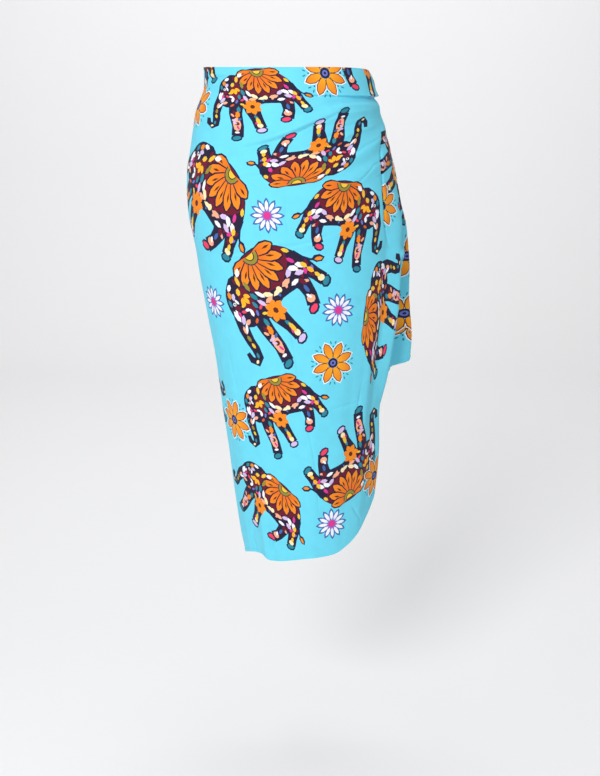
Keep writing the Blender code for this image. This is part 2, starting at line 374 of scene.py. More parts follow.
# Hollows between the hip's upright folds that are deeper than the solid form's, and soft waves on the
# front, sides and back, where the light cloth hangs a little unevenly.
WAVE_COLUMNS = ("wind", "drift", "half_width", "height", "starts", "full", "ends")
WAVES = (
    (536.5, 0.0, 3.2, -0.0060, 0.20, 0.26, 0.60),
    (552.0, 0.0, 3.8, -0.0190, 0.24, 0.32, 0.54),
    (567.5, 0.0, 3.4, -0.0090, 0.18, 0.26, 0.60),
    (545.0, 0.0, 4.4, -0.0125, 0.28, 0.40, 0.60),
    (528.0, -6.0, 3.2, 0.0030, 0.24, 0.34, 0.80),
    (371.0, 16.0, 4.0, -0.0014, 0.30, 0.55, 0.90),
    (392.0, 10.0, 4.5, 0.0016, 0.40, 0.62, 0.95),
    (432.0, -6.0, 6.0, 0.0016, 0.45, 0.70, 0.95),
    (466.0, -14.0, 6.0, 0.0014, 0.30, 0.60, 0.95),
    (492.0, -10.0, 5.0, -0.0012, 0.30, 0.55, 0.80),
    (510.0, -16.0, 4.0, 0.0022, 0.26, 0.42, 0.80),
    (521.0, -18.0, 3.5, -0.0016, 0.30, 0.46, 0.75),
    (347.0, -10.0, 4.0, 0.0018, 0.20, 0.42, 0.95),
    (330.0, 8.0, 3.5, -0.0012, 0.16, 0.36, 0.80),
    (294.0, 9.0, 3.0, 0.0022, 0.10, 0.30, 0.90),
    (268.0, -7.0, 3.4, -0.0011, 0.14, 0.40, 0.90),
    (249.0, 12.0, 3.2, 0.0020, 0.12, 0.34, 0.90),
    (226.0, -8.0, 4.2, 0.0030, 0.08, 0.26, 0.90),
    (217.0, 6.0, 3.0, 0.0020, 0.20, 0.40, 0.80),
)

# The share of a wave's height that fades away between the drops where it is full and where it ends.
WAVE_FADE = 0.8


def waves(wind, drop):
    """The soft upright waves: each drifts round the cloth as it goes down."""
    stand = np.zeros_like(drop)
    for middle, drift, half_width, height, starts, full, ends in WAVES:
        across = np.exp(-(((wind - middle - drift * drop) / half_width) ** 2))
        fade = 1 - WAVE_FADE * ease(full, ends, drop)
        stand = stand + height * across * ease(starts, full, drop) * fade
    return stand


# Creases in the cloth in view: pulled lines from the tuck, and folds left from storage. Each follows
# pixels of the photograph. A height below nought is a groove.
CREASE_COLUMNS = ("height", "half_width", "photo_path")
CREASES = (
    (-0.0022, 0.0024, ((203, 78), (210, 79), (219, 78), (230, 76))),
    (0.0012, 0.0030, ((203, 74), (212, 74), (224, 73))),
    (-0.0016, 0.0026, ((228, 150), (262, 144), (290, 136), (318, 123), (345, 111), (371, 107))),
    (0.0018, 0.0040, ((232, 144), (262, 138), (290, 130), (318, 117), (345, 105), (372, 102))),
    (-0.0010, 0.0020, ((232, 179), (250, 176), (268, 174), (292, 168), (316, 156))),
    (-0.0012, 0.0022, ((318, 106), (338, 101), (358, 99), (377, 99))),
    (0.0014, 0.0030, ((312, 112), (336, 106), (358, 103), (379, 103))),
    (-0.0012, 0.0024, ((296, 152), (322, 141), (348, 126), (378, 116))),
    (0.0013, 0.0034, ((300, 158), (324, 148), (350, 134), (382, 121))),
    (-0.0011, 0.0022, ((322, 172), (346, 160), (366, 146), (386, 134))),
    (-0.0010, 0.0020, ((340, 200), (358, 184), (374, 166), (390, 154))),
    (-0.0009, 0.0020, ((200, 113), (208, 112), (218, 109))),
    (-0.0011, 0.0018, ((206, 254), (226, 254), (248, 252), (276, 248), (298, 245), (318, 240), (340, 230))),
    (0.0008, 0.0026, ((210, 258), (248, 256), (280, 252), (312, 245), (336, 236))),
    (-0.0008, 0.0016, ((285, 196), (286, 216), (289, 242))),
    (-0.0008, 0.0016, ((288, 310), (292, 338), (296, 360), (299, 388))),
    (-0.0009, 0.0016, ((303, 410), (310, 438), (315, 466), (318, 493), (319, 518))),
    (-0.0008, 0.0016, ((226, 346), (231, 370), (237, 396))),
    (-0.0010, 0.0024, ((363, 384), (360, 410), (357, 438))),
    (-0.0009, 0.0026, ((328, 410), (346, 406), (368, 400))),
    (-0.0022, 0.0034, ((268, 518), (271, 536), (273, 556))),
    (0.0018, 0.0036, ((259, 512), (262, 532), (264, 552))),
    (-0.0016, 0.0030, ((249, 520), (252, 536), (255, 551))),
    (-0.0012, 0.0026, ((353, 505), (362, 520), (368, 530))),
    (-0.0034, 0.0024, ((382, 126), (384, 160), (385, 188), (386, 224), (390, 246))),
    (-0.0030, 0.0022, ((396, 316), (399, 334), (402, 350))),
    (0.0070, 0.0070, ((400, 251), (405, 253), (408, 254))),
    (0.0070, 0.0065, ((401, 310), (406, 308), (409, 306))),
    (-0.0026, 0.0034, ((402, 264), (407, 270), (410, 276))),
)

# A crease is full between these shares of its length, and this share of its height is left at its ends.
CREASE_FULL = 0.3
CREASE_FADES = 0.7
CREASE_END = 0.15


def crease_paths():
    """The creases as height, half width and path in cloth coordinates."""
    found = []
    for height, half_width, path in CREASES:
        places = np.array([cloth_at(x, y) for x, y in path])
        found.append((height, half_width, flat(places[:, 0], places[:, 1])))
    return found


def lengths_along(path):
    """The length from a path's start to each of its points."""
    return np.concatenate([[0], np.cumsum(np.linalg.norm(np.diff(path, axis=0), axis=1))])


def resampled(path, starts, spots):
    """The points of a path at the lengths in spots."""
    return np.stack([np.interp(spots, starts, path[:, side]) for side in (0, 1)], axis=1)


def headings(path):
    """The direction of a path at each of its points."""
    heading = np.gradient(path, axis=0)
    return heading / np.linalg.norm(heading, axis=1, keepdims=True)


def leftward(heading):
    """The directions at right angles to the headings, to their left."""
    return np.stack([-heading[:, 1], heading[:, 0]], axis=1)


def creases(wind, drop):
    """How far the small creases stand out, fading towards both their ends."""
    here = flat(wind, drop)
    stand = np.zeros_like(drop)
    for height, half_width, path in PATHS:
        lengths = np.linalg.norm(np.diff(path, axis=0), axis=1)
        starts = lengths_along(path)
        low, high = path.min(axis=0) - 4 * half_width, path.max(axis=0) + 4 * half_width
        near = np.all((here > low) & (here < high), axis=-1)
        spots = here[near]
        nearest = np.full(len(spots), np.inf)
        along = np.zeros(len(spots))
        for k, length in enumerate(lengths):
            heading = (path[k + 1] - path[k]) / length
            reach = np.clip((spots - path[k]) @ heading, 0, length)
            away = np.linalg.norm(spots - path[k] - reach[:, None] * heading, axis=1)
            along = np.where(away < nearest, starts[k] + reach, along)
            nearest = np.minimum(nearest, away)
        share = along / starts[-1]
        fade = ease(0, CREASE_FULL, share) * (1 - ease(CREASE_FADES, 1, share))
        fade = fade * (1 - CREASE_END) + CREASE_END
        stand[near] += height * fade * np.exp(-((nearest / half_width) ** 2))
    return stand


def from_hem(wind, drop):
    """How far a place is from the lower edge, or from the end edge if that is nearer."""
    slope = (cloth_hem(wind + 0.5) - cloth_hem(wind - 0.5)) / METRES_PER_DEGREE
    below = (cloth_hem(wind) - drop) / np.sqrt(1 + slope * slope)
    return np.minimum(below, (WIND_END - wind) * METRES_PER_DEGREE)


def hem_roll(wind, drop):
    """The narrow hem, turned once and stitched, which is a little thicker than the cloth."""
    away = from_hem(wind, drop)
    return HEM_RISE * (1 - ease(HEM_WIDTH - HEM_STEP, HEM_WIDTH + HEM_STEP, away))


def outer_offset(wind, drop):
    """How far the outer face stands from the form."""
    return smooth_offset(wind, drop) + waves(wind, drop) + creases(wind, drop) + hem_roll(wind, drop)


def cloth_point(wind, drop):
    """The outer face of the cloth."""
    return offset_point(wind, drop, outer_offset(wind, drop))


def reverse_point(wind, drop, reach):
    """The reverse face, at the deepest place within reach, so that its wider triangles stay inside."""
    deepest = np.full_like(drop, np.inf)
    for slant in range(0, 360, 45):
        beside = wind + reach * math.cos(math.radians(slant)) / METRES_PER_DEGREE
        deepest = np.minimum(deepest, outer_offset(beside, drop + reach * math.sin(math.radians(slant))))
    deepest = np.minimum(deepest, outer_offset(wind, drop))
    behind = cloth_point(wind, drop) - cloth_normal(wind, drop) * FALL_THICKNESS
    in_fall = (ease(*FALL_WINDS, wind) * ease(*FALL_DROPS, drop))[..., None]
    return offset_point(wind, drop, deepest - THICKNESS) * (1 - in_fall) + behind * in_fall


def cloth_normal(wind, drop):
    """The outward normal, from small steps along the cloth."""
    step_wind = 0.12
    step_drop = 0.0003
    along = cloth_point(wind + step_wind, drop) - cloth_point(wind - step_wind, drop)
    down = cloth_point(wind, drop + step_drop) - cloth_point(wind, drop - step_drop)
    normal = np.cross(down, along)
    return normal / np.linalg.norm(normal, axis=-1, keepdims=True)


# The print. Sizes are millimetres in the motif's own drawing, x right and y up as seen from outside.
MILLIMETRE = 0.001

INKS = {
    "turquoise": (106, 211, 235),
    "navy": (18, 34, 72),
    "night": (34, 24, 52),
    "blue": (58, 100, 168),
    "violet": (104, 112, 196),
    "teal": (40, 130, 150),
    "maroon": (104, 18, 42),
    "brown": (96, 36, 20),
    "orange": (238, 136, 28),
    "ember": (218, 92, 22),
    "amber": (252, 176, 36),
    "yellow": (234, 190, 56),
    "olive": (146, 134, 46),
    "cream": (246, 226, 176),
    "white": (236, 240, 248),
    "lilac": (206, 184, 226),
    "peach": (240, 170, 136),
    "pink": (232, 62, 98),
    "magenta": (214, 52, 142),
}


def ink(name):
    """An ink as linear light."""
    share = np.array(INKS[name]) / 255
    return np.where(share <= 0.04045, share / 12.92, ((share + 0.055) / 1.055) ** 2.4)


class Patch:
    """One flat shape of print: its edge, and a colour that runs from a centre outwards."""

    def __init__(self, points, near, far=None, centre=None, reach=1.0, bold=False):
        self.points = np.array(points, float)
        self.near = near
        self.far = near if far is None else far
        self.centre = np.array(self.points.mean(axis=0) if centre is None else centre, float)
        self.reach = reach
        self.bold = bold
        self.is_filling = False


def smooth(points, steps=3):
    """A closed curve through given points."""
    points = np.array(points, float)
    before, after, beyond = np.roll(points, 1, 0), np.roll(points, -1, 0), np.roll(points, -2, 0)
    rows = []
    for t in np.arange(steps) / steps:
        square = (2 * before - 5 * points + 4 * after - beyond) * t**2
        cube = (3 * points - before - 3 * after + beyond) * t**3
        rows.append(0.5 * (2 * points + (after - before) * t + square + cube))
    return np.stack(rows, axis=1).reshape(-1, 2)


def oval(x, y, length, width, slant=0.0, count=8):
    """An ellipse; slant is in degrees from the x axis."""
    angles = np.radians(np.arange(count) * 360 / count)
    shape = np.stack([length / 2 * np.cos(angles), width / 2 * np.sin(angles)], axis=1)
    return turned(shape, slant) + (x, y)


# Half outlines of leaves and petals: a share of the length, and the half width there as a share.
BLADE_COLUMNS = ("along", "half")
LEAF = ((0.0, 0.0), (0.25, 0.36), (0.55, 0.5), (0.82, 0.34), (1.0, 0.0))
SMALL_LEAF = ((0.0, 0.0), (0.30, 0.44), (0.72, 0.44), (1.0, 0.0))
SMALL_LENGTH = 20
PETAL = ((0.0, 0.06), (0.30, 0.34), (0.62, 0.5), (0.86, 0.38), (1.0, 0.08))


def blade(half_outline, x, y, length, width, slant):
    """The half outline and its mirror image as one closed shape, its root at x, y."""
    one = np.array(half_outline) * (length, width)
    other = (one * (1, -1))[::-1]
    edge = np.concatenate([one, other if one[0, 1] else other[1:-1]])
    return turned(edge, slant) + (x, y)


def leaf(x, y, length, width, slant=0.0):
    """A leaf with a point at each end."""
    return blade(SMALL_LEAF if length < SMALL_LENGTH else LEAF, x, y, length, width, slant)


def petal(x, y, length, width, slant=0.0):
    """A petal that widens towards a rounded tip."""
    return blade(PETAL, x, y, length, width, slant)


def turned(shape, slant):
    angle = math.radians(slant)
    turning = np.array([[math.cos(angle), math.sin(angle)], [-math.sin(angle), math.cos(angle)]])
    return np.asarray(shape, float) @ turning


def limb(middle, half_widths):
    """A tapering limb round a bent middle line, with a blunt foot."""
    middle = np.array(middle, float)
    side = leftward(headings(middle)) * np.array(half_widths, float)[:, None]
    return np.concatenate([middle + side, (middle - side)[::-1]])


def grown(shape, margin):
    """The shape with its edge moved outwards."""
    shape = np.asarray(shape, float)
    along = np.roll(shape, -1, 0) - np.roll(shape, 1, 0)
    area = np.sum(shape[:, 0] * np.roll(shape[:, 1], -1) - np.roll(shape[:, 0], -1) * shape[:, 1])
    out = np.stack([along[:, 1], -along[:, 0]], axis=1) * np.sign(area)
    return shape + out / np.maximum(np.linalg.norm(out, axis=1, keepdims=True), 1e-6) * margin


TORSO = (
    (-36, -3), (-18, 4), (0, 6), (18, 3), (34, -7), (45, -22), (48, -38), (38, -50),
    (18, -51), (-2, -50), (-22, -55), (-40, -56), (-50, -40), (-48, -16),
)
HEAD = (
    (-38, -2), (-52, -5), (-64, -12), (-71, -24), (-72, -40), (-64, -50), (-52, -54), (-40, -46), (-32, -22),
)
EAR = ((-39, -12), (-48, -16), (-53, -28), (-50, -40), (-42, -46), (-34, -36), (-33, -20))
LIMB_COLUMNS = ("middle", "half_widths", "foot", "sole")
LIMBS = (
    (((-42, -44), (-46, -66), (-47, -88), (-51, -103)), (10, 8, 6.5, 7), (-53, -107, 14, 8, 10), "teal"),
    (((36, -28), (44, -42), (48, -53), (51, -62)), (12, 8, 6, 7), (52, -66, 13, 8, 25), "teal"),
    (((26, -38), (29, -54), (27, -66), (22, -76)), (12, 7.5, 6, 7), (19, -80, 14, 8, 15), "pink"),
    (((-22, -44), (-21, -62), (-18, -78), (-17, -91)), (11, 9, 6.5, 7), (-17, -96, 14, 8, 12), "lilac"),
)
TRUNK = ((-67, -38), (-73, -50), (-76, -62), (-77, -72), (-80, -81), (-87, -84), (-92, -78), (-91, -71))
TRUNK_HALF_WIDTHS = (8, 6.5, 5.2, 4.8, 4.2, 3.6, 2.8, 1.8)
TAIL = ((44, -22), (49, -31), (54, -38), (58, -41))
TAIL_HALF_WIDTHS = (1.8, 1.4, 1.3, 1.2)

# Round marks on the lower legs, and small leaves and beads over the body.
MARK_COLUMNS = ("x", "y", "length", "width", "slant", "ink")
LEG_MARKS = (
    (-47.5, -84, 24, 11.5, 80, "peach"),
    (-47, -83, 7, 6, 0, "brown"),
    (-17, -88, 8, 8, 0, "cream"),
    (24, -70, 11, 9, 0, "peach"),
    (50, -60, 9, 7, 0, "cream"),
)
BEAD_COLUMNS = ("x", "y", "length", "width", "slant", "ink")
BEADS = (
    (-24, 1, 11, 5.5, 215, "white"),
    (-34, -3, 12, 5.5, 250, "yellow"),
    (-29, -12, 13, 5.5, 262, "olive"),
    (-33, -26, 11, 6, 290, "teal"),
    (-26, -28, 13, 5, 300, "white"),
    (-20, -35, 13, 6, 325, "cream"),
    (-31, -36, 12, 5.5, 300, "lilac"),
    (-24, -44, 13, 5, 5, "peach"),
    (-10, -44, 15, 5, 10, "cream"),
    (6, -42, 14, 6, 8, "peach"),
    (16, -47, 12, 5, 5, "white"),
    (18, -38, 12, 6, 30, "lilac"),
    (26, -31, 12, 6.5, 330, "white"),
    (33, -22, 10, 5, 300, "magenta"),
    (28, -40, 12, 6, 345, "lilac"),
    (36, -32, 12, 6.5, 320, "white"),
    (36, -12, 9, 5, 310, "yellow"),
    (42, -40, 8, 4, 250, "magenta"),
    (-42, -14, 9, 6, 225, "yellow"),
    (-45, -24, 11, 6.5, 235, "amber"),
    (-43, -24, 10, 6, 275, "amber"),
    (-42, -23, 9, 5, 320, "amber"),
    (-38, -34, 9, 5, 280, "teal"),
    (-46, -38, 9, 5, 250, "white"),
    (-48, -6, 10, 5, 200, "white"),
    (-57, -10, 9, 6, 235, "orange"),
    (-52, -15, 9, 5, 215, "lilac"),
    (-60, -24, 9, 7, 250, "maroon"),
    (-65, -16, 9, 5, 255, "teal"),
    (-69, -28, 14, 7, 268, "white"),
    (-60, -38, 12, 6, 220, "lilac"),
    (-56, -46, 10, 5, 190, "peach"),
    (-71, -46, 10, 5, 252, "peach"),
    (-75, -56, 8, 5, 265, "olive"),
    (-76.5, -65, 7, 4.5, 268, "yellow"),
    (-79, -76, 7, 4, 240, "teal"),
    (-84, -83, 6, 3.5, 195, "cream"),
    (-40, -54, 11, 6, 265, "teal"),
    (-42, -62, 12, 8, 255, "orange"),
    (-48, -60, 9, 4.5, 275, "maroon"),
    (-20, -70, 9, 5, 290, "teal"),
    (-18, -74, 13, 6, 275, "yellow"),
    (28, -46, 10, 6, 290, "maroon"),
    (28, -54, 10, 5, 265, "blue"),
    (42, -34, 9, 6, 295, "yellow"),
    (45, -42, 9, 6, 290, "amber"),
    (48, -51, 8, 5, 285, "yellow"),
)


# The flower on the belly, and the leaves scattered round it and the other large shapes.
BLOSSOM_PLACE = (-20, -56)
BLOSSOM_CLEAR = 14
FILLING_HEIGHTS = (-98, 6)
FILLING_WIDTHS = (-82, 52)
FILLING_STEP = 7.6
FILLING_SHIFT = 1.6
FILLING_INSET = 2.2
FILLING_CLEAR = 4.0
FILLING_LEAF = (7.4, 3.6)
FILLING_INKS = (
    "white", "lilac", "maroon", "teal", "white", "pink", "yellow", "blue", "maroon", "peach", "violet",
    "white", "ember", "maroon", "magenta", "cream",
)


def blossom(x, y, petals, reach, width, colour, heart):
    """A small round flower."""
    patches = []
    for k in range(petals):
        slant = 360 * k / petals + 20
        patches.append(Patch(leaf(x, y, reach, width, slant), colour))
    patches.append(Patch(oval(x, y, reach * 0.5, reach * 0.5, 0, 6), heart))
    return patches


def elephant():
    """A walking elephant filled with flowers and leaves; its origin is the top of its back."""
    bodies = [smooth(shape, 2) for shape in (TORSO, HEAD)]
    limbs = [limb(middle, widths) for middle, widths, foot, sole in LIMBS]
    feet = [oval(*foot) for middle, widths, foot, sole in LIMBS]
    trunk = limb(TRUNK, TRUNK_HALF_WIDTHS)
    tail = limb(TAIL, TAIL_HALF_WIDTHS)
    patches = [Patch(grown(shape, 1.7), "navy", bold=True) for shape in limbs + feet + [trunk]]
    patches += [Patch(tail, "navy", bold=True), Patch(leaf(55, -39, 16, 9, -25), "navy", bold=True)]
    patches += [Patch(leaf(58, -41, 10, 4.5, -25), "peach", "orange")]
    patches += [Patch(shape, "night", bold=True) for shape in limbs + [trunk]]
    for shape, (middle, widths, foot, sole) in zip(feet, LIMBS):
        patches.append(Patch(grown(shape, -0.6), sole, bold=True))
    patches += [Patch(oval(*mark), colour) for *mark, colour in LEG_MARKS]
    patches += [Patch(grown(shape, 1.5), "navy", bold=True) for shape in bodies]
    patches += [Patch(shape, "night", bold=True) for shape in bodies]
    patches.append(Patch(smooth(rosette_ground(), 2), "maroon", bold=True))
    for k in range(8):
        slant = -174 + 168 * k / 7
        reach = 34 if k in (0, 7) else 39
        patches.append(Patch(petal(0, 2, reach, 15.0, slant), "night"))
        inner = petal(0, 2, reach - 1.9, 11.2, slant)
        patches.append(Patch(inner, "ember", "orange", (0, 2), 36, bold=True))
        mark_x, mark_y = turned([(24, 0)], slant)[0] + (0, 2)
        patches.append(Patch(oval(mark_x, mark_y, 11, 2.6, slant, 4), "brown"))
    for radius, colour in ((11.5, "navy"), (10.3, "olive"), (6.5, "night"), (5.4, "yellow")):
        patches.append(Patch(half_disc(radius), colour))
    patches += blossom(*BLOSSOM_PLACE, 7, 14, 8.5, "orange", "brown")
    patches.append(Patch(oval(1, -42, 7, 7), "cream"))
    patches.append(Patch(smooth(EAR, 2), "navy"))
    patches.append(Patch(grown(smooth(EAR, 2), -1.3), "maroon"))
    patches += filling(bodies + limbs)
    patches += [Patch(leaf(*bead), colour) for *bead, colour in BEADS]
    patches += [Patch(oval(-61, -24, 5, 4), "white"), Patch(oval(-61, -24, 2.4, 2.4, 0, 6), "navy")]
    patches += [Patch(leaf(-64, -46, 13, 3.6, 225), "white")]
    return patches


def is_inside(spots, shape):
    """Which of the spots lie in a closed shape."""
    inside = np.zeros(len(spots), bool)
    x, y = spots[:, 0], spots[:, 1]
    for start, end in zip(shape, np.roll(shape, -1, 0)):
        crosses = (start[1] > y) != (end[1] > y)
        rise = end[1] - start[1] if end[1] != start[1] else 1e-9
        inside ^= crosses & (x < (end[0] - start[0]) * (y - start[1]) / rise + start[0])
    return inside


def filling(shapes):
    """Small leaves of mixed inks and slants, scattered where the body has no larger flower or leaf."""
    chance = np.random.default_rng(11)
    heights, widths = np.arange(*FILLING_HEIGHTS, FILLING_STEP), np.arange(*FILLING_WIDTHS, FILLING_STEP)
    rows, columns = np.meshgrid(heights, widths, indexing="ij")
    spots = np.stack([columns + (rows % 2) * 2, rows], axis=-1).reshape(-1, 2)
    spots = spots + chance.uniform(-FILLING_SHIFT, FILLING_SHIFT, spots.shape)
    taken = np.array([bead[:2] for bead in BEADS])
    in_body = np.zeros(len(spots), bool)
    for shape in shapes:
        in_body |= is_inside(spots, grown(shape, -FILLING_INSET))
    in_body &= ~is_inside(spots, grown(smooth(rosette_ground(), 2), 1.5))
    in_body &= np.linalg.norm(spots - BLOSSOM_PLACE, axis=1) > BLOSSOM_CLEAR
    patches = []
    for x, y in spots[in_body]:
        slant = float(chance.uniform(0, 180))
        colour = FILLING_INKS[int(chance.integers(len(FILLING_INKS)))]
        if np.min(np.hypot(taken[:, 0] - x, taken[:, 1] - y)) < FILLING_CLEAR:
            continue
        patches.append(Patch(oval(x, y, *FILLING_LEAF, slant, 6), colour))
        patches[-1].is_filling = True
    return patches


def rosette_ground():
    """The scalloped half round behind the back's petals."""
    edge = [(-34, -2), (-18, 4), (0, 6), (18, 3), (33, -6)]
    for k in range(8):
        slant = math.radians(-18 - 144 * k / 7)
        reach = 41.5 if k % 2 else 39.5
        edge.append((reach * math.cos(slant), 1 + reach * math.sin(slant)))
    return edge


def half_disc(radius):
    angles = np.radians(np.linspace(-178, -2, 8))
    return np.stack([radius * np.cos(angles), 3.5 + radius * np.sin(angles)], axis=1)


def orange_flower():
    """Eight wide petals round a dark eye, with tiny leaves between."""
    patches = []
    for k in range(8):
        slant = 22.5 + 45 * k
        patches.append(Patch(turned(leaf(4, 0, 31.5, 16.5), slant), "white", bold=True))
    for k in range(8):
        slant = 22.5 + 45 * k
        patches.append(Patch(turned(leaf(4, 0, 29.5, 14.4), slant), "brown", bold=True))
        patches.append(Patch(turned(leaf(5, 0, 27.0, 11.8), slant), "amber", "ember", (0, 0), 48, bold=True))
        for side in (-1, 1):
            patches.append(Patch(turned(leaf(29, 2.4 * side, 6, 2.2, 24 * side), slant + 22.5), "teal"))
        patches.append(Patch(turned(oval(25.5, 0, 3.2, 2.2, 0, 4), slant + 22.5), "navy"))
    patches.append(Patch(oval(0, 0, 15.5, 15.5, 0, 16), "navy", bold=True))
    patches.append(Patch(oval(0, 0, 9, 9, 0, 12), "violet"))
    patches.append(Patch(oval(0, 0, 4, 4, 0, 8), "navy"))
    return patches


def daisy():
    """Twelve narrow pale petals, lined in blue and violet."""
    patches = []
    for k in range(12):
        slant = 30 * k
        patches.append(Patch(turned(leaf(2, 0, 24.5, 9.2), slant), "violet", "blue", (0, 0), 24, bold=True))
    for k in range(12):
        slant = 30 * k
        patches.append(Patch(turned(leaf(6, 0, 16.5, 5.6), slant), "lilac", "white", (0, 0), 14, bold=True))
    patches.append(Patch(oval(0, 0, 14.5, 14.5, 0, 12), "violet"))
    patches.append(Patch(oval(0, 0, 12.0, 12.0, 0, 12), "magenta", bold=True))
    return patches


# Where motifs lie. A motif is turned counterclockwise, and long, tall and sheared stretch an elephant, as
# gathered and slanting cloth does. An elephant faces left unless it is mirrored. Within is the region that
# a motif ends at: the waist above its ledge or the fall. The flowers in view are placed by the photograph.
ELEPHANT_COLUMNS = ("wind", "drop", "turned", "long", "tall", "sheared", "mirrored", "within")
ELEPHANTS = (
    (360.0, -0.048, 0, 1.00, 1.00, 0.00, False, ""),
    (343.0, 0.335, -24, 0.90, 0.95, 0.00, False, ""),
    (300.0, 0.085, 8, 1.10, 0.95, -0.10, False, ""),
    (286.0, 0.340, 168, 0.82, 0.85, 0.00, False, ""),
    (306.0, 0.480, 38, 1.20, 1.20, 0.00, True, ""),
    (318.0, 0.640, -28, 1.00, 1.05, 0.00, False, ""),
    (258.0, 0.150, -35, 0.85, 0.90, 0.00, True, ""),
    (246.0, 0.400, 24, 1.00, 1.05, 0.10, False, ""),
    (257.0, 0.612, 190, 0.80, 0.85, 0.00, True, ""),
    (214.0, 0.100, 12, 1.00, 0.95, 0.00, False, ""),
    (206.0, 0.320, -22, 1.00, 1.00, 0.00, True, ""),
    (204.0, 0.545, 44, 0.80, 0.85, 0.00, False, ""),
    (166.0, 0.200, 150, 1.00, 1.00, 0.00, False, ""),
    (150.0, 0.440, -15, 1.10, 1.10, 0.00, False, ""),
    (110.0, 0.130, 10, 1.00, 1.00, 0.00, True, ""),
    (90.0, 0.420, 30, 1.00, 1.00, 0.00, False, ""),
    (512.0, -0.052, 0, 1.00, 1.00, 0.00, True, "waist"),
    (561.0, 0.150, -64, 1.10, 1.10, 0.00, False, "fall"),
    (430.7, 0.008, 4, 0.98, 0.84, -0.21, False, ""),
    (453.6, 0.160, 188, 1.25, 0.80, 0.34, False, ""),
    (416.9, 0.154, -49, 1.21, 1.45, -0.21, False, ""),
    (479.3, 0.168, -5, 0.98, 1.13, 0.20, True, ""),
    (425.1, 0.273, 38, 1.25, 1.44, -0.05, False, ""),
    (496.0, 0.367, 85, 1.30, 0.70, 0.38, True, ""),
    (433.4, 0.460, 16, 0.97, 1.07, -0.13, False, ""),
    (434.1, 0.637, -44, 1.08, 0.95, -0.20, False, ""),
    (487.3, 0.651, 205, 1.02, 1.10, 0.16, False, ""),
)

HIDDEN_FLOWER_COLUMNS = ("motif", "wind", "drop", "turned", "within")
HIDDEN_FLOWERS = (
    ("orange_flower", 372.0, 0.055, 10, ""),
    ("orange_flower", 322.0, 0.215, 12, ""),
    ("orange_flower", 272.0, 0.255, 4, ""),
    ("orange_flower", 259.0, 0.700, 18, ""),
    ("orange_flower", 228.0, 0.260, 0, ""),
    ("orange_flower", 233.0, 0.490, 8, ""),
    ("orange_flower", 188.0, 0.420, 15, ""),
    ("orange_flower", 130.0, 0.300, 5, ""),
    ("orange_flower", 558.0, 0.395, 20, "fall"),
    ("daisy", 272.0, 0.050, 0, ""),
    ("daisy", 272.0, 0.480, 10, ""),
    ("daisy", 232.0, 0.680, 0, ""),
    ("daisy", 285.0, 0.560, 5, ""),
    ("daisy", 190.0, 0.235, 12, ""),
    ("daisy", 345.0, 0.160, 0, ""),
    ("daisy", 350.0, 0.560, 0, ""),
    ("daisy", 160.0, 0.580, 0, ""),
)

SEEN_FLOWER_COLUMNS = ("motif", "photo_x", "photo_y", "turned", "within")
SEEN_FLOWERS = (
    ("orange_flower", 326, 73, 0, ""),
    ("orange_flower", 333, 363, 0, ""),
    ("orange_flower", 232, 420, 6, ""),
    ("orange_flower", 379, 476, 5, ""),
    ("orange_flower", 384, 206, 4, "fall"),
    ("orange_flower", 409, 256, 12, "fall"),
    ("orange_flower", 408, 313, 0, "fall"),
    ("daisy", 267, 216, 0, ""),
    ("daisy", 339, 310, 8, ""),
    ("daisy", 332, 524, 4, ""),
    ("daisy", 212, 302, 0, ""),
)

# The fall's first edge in the photograph, where a fold cuts the print.
FALL_EDGE_COLUMNS = ("photo_x", "photo_y")
FALL_EDGE = ((382, 120), (384, 160), (385, 188), (386, 224), (392, 246), (399, 262), (400, 300), (397, 330))


def in_photo(points):
    """Pixels of the photograph for points in space, and their distance into the scene."""
    away = points[..., 1] + CAMERA_AWAY
    depth = away * math.cos(CAMERA_TILT) - points[..., 2] * math.sin(CAMERA_TILT)
    below = -points[..., 2] * math.cos(CAMERA_TILT) - away * math.sin(CAMERA_TILT)
    across = points[..., 0] - CAMERA_X
    x = FRAME_WIDTH / 2 + FOCAL_PIXELS * across / depth
    y = FRAME_HEIGHT / 2 + FOCAL_PIXELS * below / depth
    return np.stack([x, y], axis=-1), depth


# A place in the photograph is looked up on a coarse grid over the cloth in view, nearest layer first
# among places within a few pixels, and then on finer grids round what was found, reaching less far.
SEARCH_WINDS = (330, WIND_END, 1.5)
SEARCH_DROPS = (0.004, 0.775, 0.004)
SEARCH_PIXELS = 4
SEARCH_REACHES = (2.0, 0.5)
SEARCH_STEPS = 17


def photo_miss(winds, drops, photo_x, photo_y):
    """How many pixels the cloth's places lie from a pixel, and how far into the scene they are."""
    shown, depth = in_photo(smooth_point(winds, drops))
    return np.hypot(shown[..., 0] - photo_x, shown[..., 1] - photo_y), depth


def cloth_at(photo_x, photo_y):
    """The wind and drop of the cloth that the photograph shows at a pixel."""
    winds, drops = np.meshgrid(np.arange(*SEARCH_WINDS), np.arange(*SEARCH_DROPS), indexing="ij")
    miss, depth = photo_miss(winds, drops, photo_x, photo_y)
    miss = np.where(drops < cloth_hem(winds), miss, np.inf)
    near = miss < miss.min() + SEARCH_PIXELS
    best = np.unravel_index(np.argmin(np.where(near, depth, np.inf)), miss.shape)
    wind, drop = winds[best], drops[best]
    for reach in SEARCH_REACHES:
        span = np.linspace(-reach, reach, SEARCH_STEPS)
        winds, drops = np.meshgrid(wind + span, drop + span * METRES_PER_DEGREE, indexing="ij")
        miss, depth = photo_miss(winds, drops, photo_x, photo_y)
        best = np.unravel_index(np.argmin(miss), miss.shape)
        wind, drop = winds[best], drops[best]
    return float(wind), float(drop)


